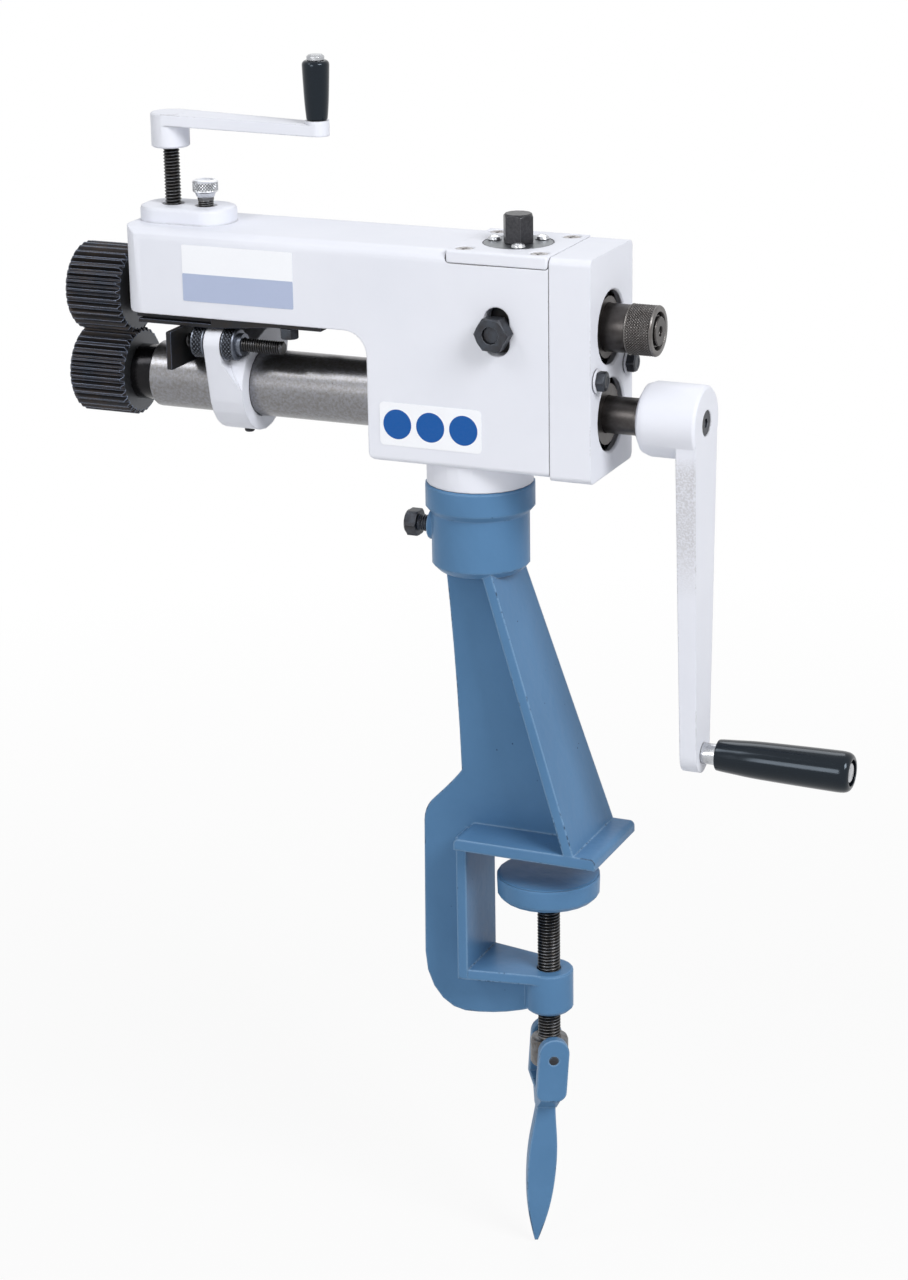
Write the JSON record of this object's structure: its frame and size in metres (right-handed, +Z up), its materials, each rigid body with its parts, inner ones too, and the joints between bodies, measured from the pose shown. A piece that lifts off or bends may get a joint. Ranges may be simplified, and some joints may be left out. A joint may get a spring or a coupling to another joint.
{
  "type": "sheet metal crimper",
  "caption": "Hand-cranked bench crimping machine: toothed rolls on geared shafts in an arm over a throat, pressed by a screw, swivelling on a clamp stand.",
  "frame": {"origin": "where the clamp screw's axis meets the flat underside of the stand's upper jaw", "axes": "+Z up along the swivel axis, +X from the rolls to the crank, +Y away from the side with the slotted hole"},
  "size_m": [0.4863, 0.0802, 0.7241],
  "materials": {
    "white_paint": "satin enamel on a cast surface",
    "blue_paint": "satin enamel on a cast surface",
    "black_steel": "black oxide",
    "dark_steel": "dark oiled machined steel",
    "bright_steel": "bright drawn tube",
    "silver_steel": "zinc plated",
    "black_plastic": "gloss",
    "bronze": "machined bronze"
  },
  "bodies": {
    "stand": {"stand_casting": "blue_paint"},
    "swivel_bolt": {"swivel_bolt": "dark_steel"},
    "clamp_pad": {"clamp_pad": "blue_paint"},
    "clamp_screw": {"clamp_screw": "black_steel", "fork_pin": "dark_steel"},
    "fork_handle": {"fork_handle": "blue_paint"},
    "head": {"head_casting": "white_paint", "gear_cover": "white_paint", "cover_bolt_near": "dark_steel", "cover_bolt_far": "dark_steel", "cover_plate": "white_paint", "plate_screw_1": "dark_steel", "plate_screw_2": "dark_steel", "plate_screw_3": "dark_steel", "plate_screw_4": "dark_steel", "adjust_flange": "black_steel", "flange_screw_1": "silver_steel", "flange_screw_2": "silver_steel", "flange_screw_3": "silver_steel", "leaf_spring_near": "black_steel", "leaf_spring_far": "black_steel", "leaf_bolt_near": "dark_steel", "leaf_bolt_far": "dark_steel", "spindle_tube": "bright_steel", "front_bush": "bronze", "rear_bush": "bronze"},
    "drive": {"lower_shaft": "dark_steel", "lower_roll": "black_steel", "lower_roll_nut": "dark_steel", "lower_gear": "dark_steel", "roll_collar": "black_steel", "thrust_washer": "dark_steel", "shaft_ring": "dark_steel", "crank_arm": "white_paint", "hub_screw": "dark_steel", "grip_pin": "silver_steel"},
    "crank_grip": {"crank_grip": "black_plastic"},
    "upper_carrier": {"front_block": "black_steel", "rear_block": "black_steel", "side_stud": "dark_steel", "side_nut": "dark_steel"},
    "upper_shaft": {"upper_shaft": "dark_steel", "upper_roll": "black_steel", "upper_roll_nut": "dark_steel", "upper_gear": "dark_steel", "upper_washer": "dark_steel", "end_sleeve": "dark_steel", "end_screw": "dark_steel"},
    "press_screw": {"press_screw": "black_steel", "top_crank": "white_paint", "small_pin": "silver_steel"},
    "small_grip": {"small_grip": "black_plastic"},
    "lock_screw": {"lock_screw": "silver_steel"},
    "adjust_screw": {"adjust_screw": "dark_steel"},
    "gauge_bracket": {"gauge_bracket": "white_paint", "bracket_screw": "black_steel", "gauge_nut_left": "black_steel", "gauge_nut_right": "black_steel"},
    "gauge": {"gauge_rod": "black_steel", "gauge_plate": "black_steel"}
  },
  "joints": [
    {"name": "head_swivel", "type": "hinge", "parent": "stand", "child": "head", "pos_m": [-0.041, 0, 0.234], "axis": [0, 0, 1], "continuous": true},
    {"name": "swivel_bolt_turn", "type": "hinge", "parent": "stand", "child": "swivel_bolt", "pos_m": [-0.081, 0, 0.1893], "axis": [-1, 0, 0], "range_deg": [0, 360]},
    {"name": "clamp_travel", "type": "slide", "parent": "stand", "child": "clamp_pad", "axis": [0, 0, 1], "range_m": [-0.04, 0.01]},
    {"name": "clamp_turn", "type": "hinge", "parent": "clamp_pad", "child": "clamp_screw", "pos_m": [0, 0, -0.05], "axis": [0, 0, 1], "range_deg": [-7200, 1800]},
    {"name": "fork_fold", "type": "hinge", "parent": "clamp_screw", "child": "fork_handle", "pos_m": [0, 0, -0.1362], "axis": [-0.515, 0.8572, 0], "range_deg": [-86, 86]},
    {"name": "crank_turn", "type": "hinge", "parent": "head", "child": "drive", "pos_m": [-0.041, 0, 0.265], "axis": [1, 0, 0], "continuous": true},
    {"name": "crank_grip_spin", "type": "hinge", "parent": "drive", "child": "crank_grip", "pos_m": [0.139, 0, 0.0695], "axis": [1, 0, 0], "continuous": true},
    {"name": "upper_lift", "type": "slide", "parent": "head", "child": "upper_carrier", "axis": [0, 0, 1], "range_m": [0, 0.0045]},
    {"name": "upper_turn", "type": "hinge", "parent": "upper_carrier", "child": "upper_shaft", "pos_m": [-0.041, 0, 0.315], "axis": [1, 0, 0], "continuous": true},
    {"name": "press_turn", "type": "hinge", "parent": "upper_carrier", "child": "press_screw", "pos_m": [-0.234, 0, 0.384], "axis": [0, 0, 1], "range_deg": [0, 1080]},
    {"name": "small_grip_spin", "type": "hinge", "parent": "press_screw", "child": "small_grip", "pos_m": [-0.139, 0, 0.434], "axis": [0, 0, 1], "continuous": true},
    {"name": "lock_turn", "type": "hinge", "parent": "upper_carrier", "child": "lock_screw", "pos_m": [-0.2125, 0, 0.384], "axis": [0, 0, 1], "range_deg": [0, 1296]},
    {"name": "adjust_turn", "type": "hinge", "parent": "upper_carrier", "child": "adjust_screw", "pos_m": [-0.016, 0, 0.364], "axis": [0, 0, 1], "range_deg": [0, 1080]},
    {"name": "bracket_slide", "type": "slide", "parent": "head", "child": "gauge_bracket", "axis": [1, 0, 0], "range_m": [-0.02, 0.014]},
    {"name": "gauge_slide", "type": "slide", "parent": "gauge_bracket", "child": "gauge", "axis": [1, 0, 0], "range_m": [-0.015, 0]}
  ],
  "couplings": [
    {"joint": "clamp_turn", "follows": "clamp_travel", "rad_per_m": 3141.6},
    {"joint": "upper_turn", "follows": "crank_turn", "ratio": -1},
    {"joint": "press_turn", "follows": "upper_lift", "rad_per_m": 4188.8},
    {"joint": "lock_turn", "follows": "upper_lift", "rad_per_m": 5026.5},
    {"joint": "adjust_turn", "follows": "upper_lift", "rad_per_m": 4188.8}
  ]
}
